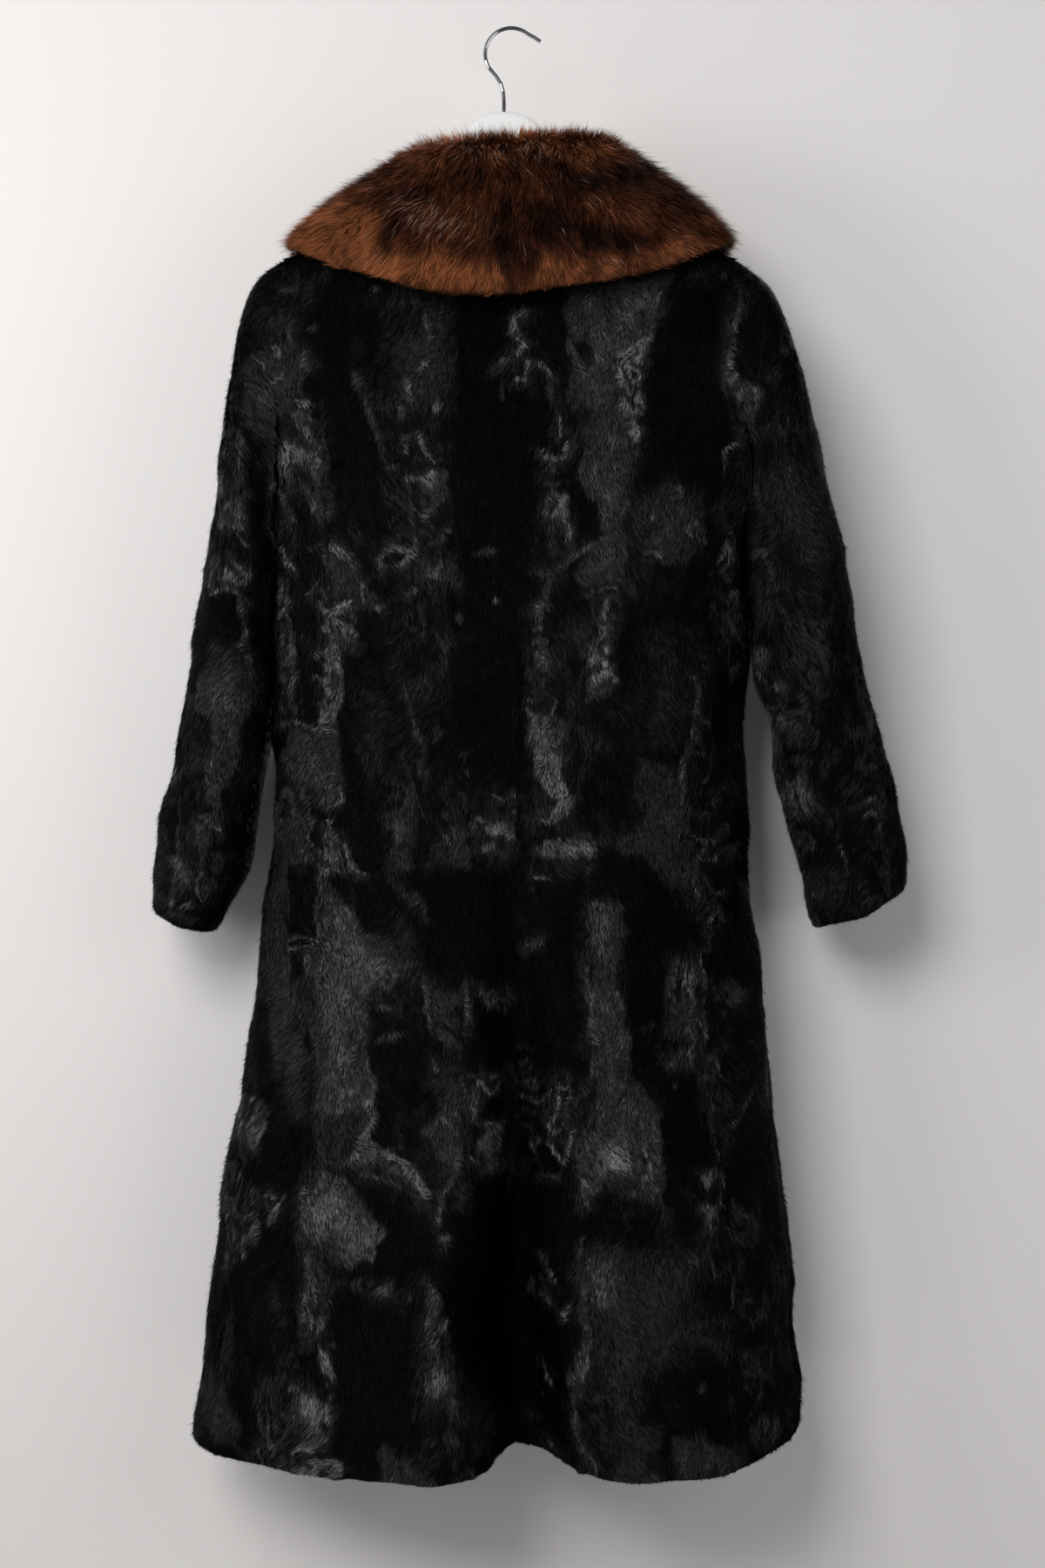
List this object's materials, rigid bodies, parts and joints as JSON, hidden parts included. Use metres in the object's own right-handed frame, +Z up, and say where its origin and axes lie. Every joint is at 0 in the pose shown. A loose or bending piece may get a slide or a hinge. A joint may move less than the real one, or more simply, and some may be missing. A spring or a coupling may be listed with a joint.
{
  "type": "fur coat on a clothes hanger",
  "caption": "Long black short-pile fur coat with a wide fold-over brown mink collar, hung by its shoulders on a white wooden hanger with a wire hook.",
  "frame": {"origin": "top of the inside of the hanger's hook, where what it hangs on bears", "axes": "+Z up, -Y towards the coat's front, +X towards the wearer's left"},
  "size_m": [0.667, 0.2343, 1.2294],
  "materials": {
    "black_fur": "flat watered fur pile",
    "mink": "long soft fur",
    "painted_wood": "white satin paint",
    "hook_wire": "polished chrome"
  },
  "bodies": {
    "root": {"back_left": "black_fur", "back_right": "black_fur", "side_left": "black_fur", "side_right": "black_fur", "front_left": "black_fur", "front_right": "black_fur", "sleeve_left_upper": "black_fur", "sleeve_left_under": "black_fur", "sleeve_right_upper": "black_fur", "sleeve_right_under": "black_fur", "collar_left": "mink", "collar_right": "mink", "hanger": "painted_wood", "hanger_hook": "hook_wire"}
  },
  "joints": []
}
